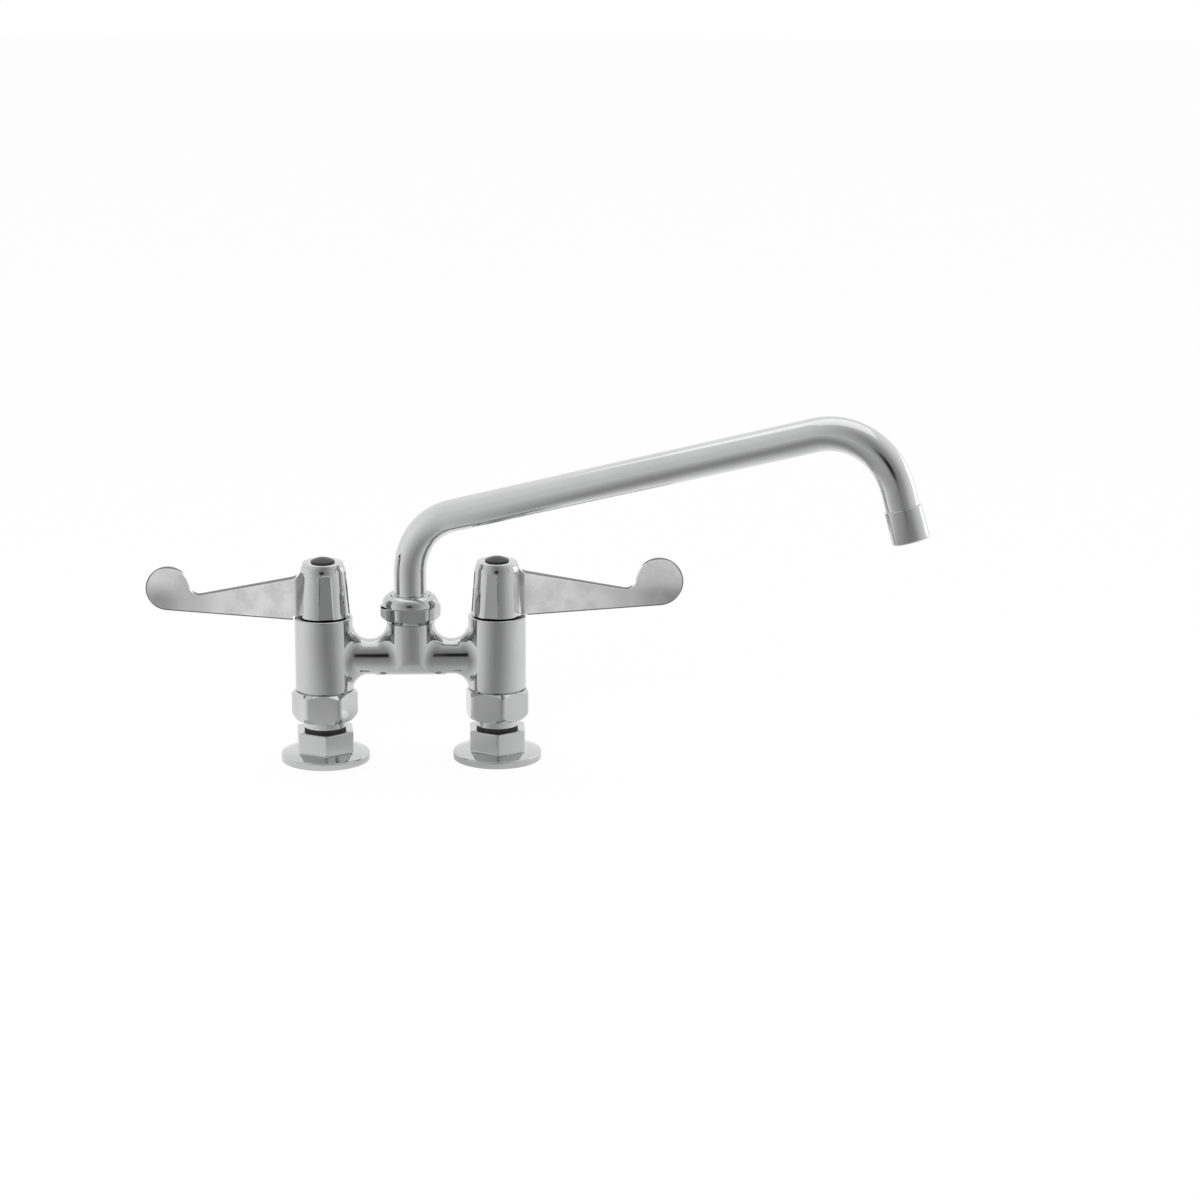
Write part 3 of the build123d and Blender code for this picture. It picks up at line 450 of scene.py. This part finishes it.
handleSet = {
    "chrome": (0.60, 0.603, 0.607, 1),
    # the blade's faces from hub to round end, a painted reflection, with painted shade beside the
    # hub
    "faceSheenAndShade": ((0.0, 0.25), (0.018, 0.32), (0.04, 0.9), (0.08, 0.98), (0.355, 0.93), (0.54, 0.82),
              (0.77, 0.60), (1.0, 0.31)),
    "satinWorn": (0.55, 0.55, 0.55, 1),
    "wornShare": 0.55,
    "crownHighlight": (0.80, 0.80, 0.80, 1),  # painted highlight on the upper half of the round end
    "bevelHighlight": (0.97, 0.97, 0.97, 1),  # painted highlight between a face and the upper edge
    "rim": (0.10, 0.10, 0.10, 1),  # painted shade on the lower edge, and on the far end's rounded one
    "topEdge": (0.17, 0.17, 0.17, 1),  # the narrow upper edge is darker and rougher
    # metres out from the hub's axis, except crownUp, which is metres above the deck
    "hubEdge": (0.0126, 0.0131),
    "along": (0.0135, 0.096),
    "crownOut": (0.074, 0.086),
    "crownUp": (0.097, 0.112),
    "rimOut": (0.082, 0.096),
    # how squarely a surface looks forwards or backwards, upwards, sideways and downwards
    "flatFace": (0.80, 0.93),
    "upFace": (0.62, 0.80),
    "sideFace": (0.25, 0.6),
    "underFace": (-0.1, -0.45),
    "chromeRough": (0.04, 0.09),
    "satinRough": (0.30, 0.42),
    "topRough": 0.38,
    "satinMetal": 0.5,
    "cloudScale": 85,
    "ripple": 0.00005,
    "rippleScale": 80,
}


def makeHandleMasks():  # which part of the handle a point is on, and how far along the blade
    look = handleSet
    group, start, end = newGroup(
        "handleMasks",
        [("Position", "NodeSocketVector", None), ("Normal", "NodeSocketVector", None),
         ("Leg", "NodeSocketFloat", legOut)],
        [(label, "NodeSocketFloat") for label in
         ("Face", "Top", "Along", "Crown", "Rim", "Blade")])
    place = splitVector(group, start.outputs["Position"])
    facing = splitVector(group, start.outputs["Normal"])
    fromMiddle = doMath(group, "ABSOLUTE", place["X"])
    outward = doMath(group, "SUBTRACT", fromMiddle, start.outputs["Leg"])
    onBlade = fade(group, outward, *look["hubEdge"])
    flat = fade(group, doMath(group, "ABSOLUTE", facing["Y"]), *look["flatFace"])
    upward = fade(group, facing["Z"], *look["upFace"])
    crownOut = fade(group, outward, *look["crownOut"])
    crownUp = fade(group, place["Z"], *look["crownUp"])
    farOut = fade(group, outward, *look["rimOut"])
    sideways = fade(group, doMath(group, "ABSOLUTE", facing["X"]), *look["sideFace"])
    farRim = doMath(group, "MULTIPLY", farOut, sideways)
    # the blade's down-facing lower edge, which gets painted shade
    downward = fade(group, facing["Z"], *look["underFace"])
    lowerEdge = doMath(group, "MULTIPLY", onBlade, downward)
    masks = {
        "Face": doMath(group, "MULTIPLY", onBlade, flat),
        "Top": doMath(group, "MULTIPLY", onBlade, upward),
        "Along": fade(group, outward, *look["along"], kind="LINEAR"),
        "Crown": doMath(group, "MULTIPLY", crownOut, crownUp),
        "Rim": doMath(group, "MAXIMUM", farRim, lowerEdge),
        "Blade": onBlade,
    }
    for label, mask in masks.items():
        feed(group, end.inputs[label], mask)
    return group


def makeHandleFinish():
    look = handleSet
    material, tree = blankMaterial("handleChrome")
    coords = addNode(tree, "ShaderNodeTexCoord")
    place = coords.outputs["Object"]
    masks = useGroup(tree, makeHandleMasks(),
                     {"Position": place, "Normal": coords.outputs["Normal"]})
    smear = addMarks(tree, place, look)
    # painted reflection along the blade's faces, brightest near the hub, with painted shade
    # beside the hub
    faceSheenAndShade = addRamp(tree, masks["Along"], look["faceSheenAndShade"], "EASE")
    # painted highlight: the upper half of the round end is lighter
    face = mixColour(tree, masks["Crown"], faceSheenAndShade, look["crownHighlight"])
    worn = mixColour(tree, smear, face, look["satinWorn"])
    face = mixColour(tree, look["wornShare"], face, worn)
    # painted highlight: the blade's bevels get a near-white metal colour
    colour = mixColour(tree, masks["Blade"], look["chrome"], look["bevelHighlight"])
    colour = mixColour(tree, masks["Face"], colour, face)
    # painted shade on the blade's lower edge and the far end's rounded edge
    colour = mixColour(tree, masks["Rim"], colour, look["rim"])
    colour = mixColour(tree, masks["Top"], colour, look["topEdge"])
    rough = mixValue(tree, masks["Face"], mixValue(tree, smear, *look["chromeRough"]),
                     mixValue(tree, smear, *look["satinRough"]))
    rough = mixValue(tree, masks["Top"], rough, look["topRough"])
    metal = mixValue(tree, masks["Face"], 1.0, look["satinMetal"])
    surface = addNode(tree, "ShaderNodeBsdfPrincipled")
    feed(tree, surface.inputs["Base Color"], colour)
    feed(tree, surface.inputs["Roughness"], rough)
    feed(tree, surface.inputs["Metallic"], metal)
    addRipple(tree, surface, place, look)
    coverWith(tree, surface.outputs[0])
    return material


finishes = {name: makeFinish(name) for name in finishSet}
finishes["handleChrome"] = makeHandleFinish()
print("finishes:", len(finishes))

wears = {
    "bridge_body": "castChrome",
    "deck_flange": "turnedChrome",
    "shank": "turnedChrome",
    "shank_washer": "rubber",
    "coupling_nut": "turnedChrome",
    "coupling_washer": "fibre",
    "swivel_nut": "turnedChrome",
    "swivel_washer": "plastic",
    "spout_bearing": "turnedChrome",
    "spout_seals": "rubber",
    "spout_tube": "tubeChrome",
    "outlet_sleeve": "turnedChrome",
    "outlet_washer": "rubber",
    "aerator_insert": "plastic",
    "aerator_screens": "steel",
    "cartridge_body": "brass",
    "seat_seal": "rubber",
    "fixed_disc": "ceramic",
    "turning_disc": "ceramic",
    "cartridge_stem": "brass",
    "stem_seal": "rubber",
    "handle_screw": "steel",
    "handle": "handleChrome",
    "index_button": "buttonGrey",
}
skinSet = {"weld": 2e-6, "smoothUnder": 24}  # metres, and degrees between faces


def makeSmoothSkin():  # rounds the shading of curved faces and keeps true edges crisp
    group = bpy.data.node_groups.new("smoothSkin", "GeometryNodeTree")
    for side in ("INPUT", "OUTPUT"):
        group.interface.new_socket("Geometry", in_out=side, socket_type="NodeSocketGeometry")
    start = group.nodes.new("NodeGroupInput")
    end = group.nodes.new("NodeGroupOutput")
    weld = addNode(group, "GeometryNodeMergeByDistance")
    weld.inputs["Distance"].default_value = skinSet["weld"]
    angle = addNode(group, "GeometryNodeInputMeshEdgeAngle")
    flat = addNode(group, "FunctionNodeCompare", data_type="FLOAT", operation="LESS_EQUAL")
    flat.inputs["B"].default_value = radians(skinSet["smoothUnder"])
    faces = addNode(group, "GeometryNodeSetShadeSmooth", domain="FACE")
    edges = addNode(group, "GeometryNodeSetShadeSmooth", domain="EDGE")
    feed(group, weld.inputs["Geometry"], start.outputs[0])
    feed(group, faces.inputs["Geometry"], weld.outputs[0])
    feed(group, edges.inputs["Geometry"], faces.outputs[0])
    feed(group, flat.inputs["A"], angle.outputs["Unsigned Angle"])
    feed(group, edges.inputs["Shade Smooth"], flat.outputs[0])
    feed(group, end.inputs[0], edges.outputs[0])
    return group


def dressNodes():
    smoothSkin = makeSmoothSkin()
    for name, node in nodes.items():
        family = name.removesuffix("_left").removesuffix("_right")
        node.data.materials.clear()
        node.data.materials.append(finishes[wears[family]])
        modifier = node.modifiers.new("smoothSkin", "NODES")
        modifier.node_group = smoothSkin


dressNodes()
print("dressed:", len(nodes), "pieces")
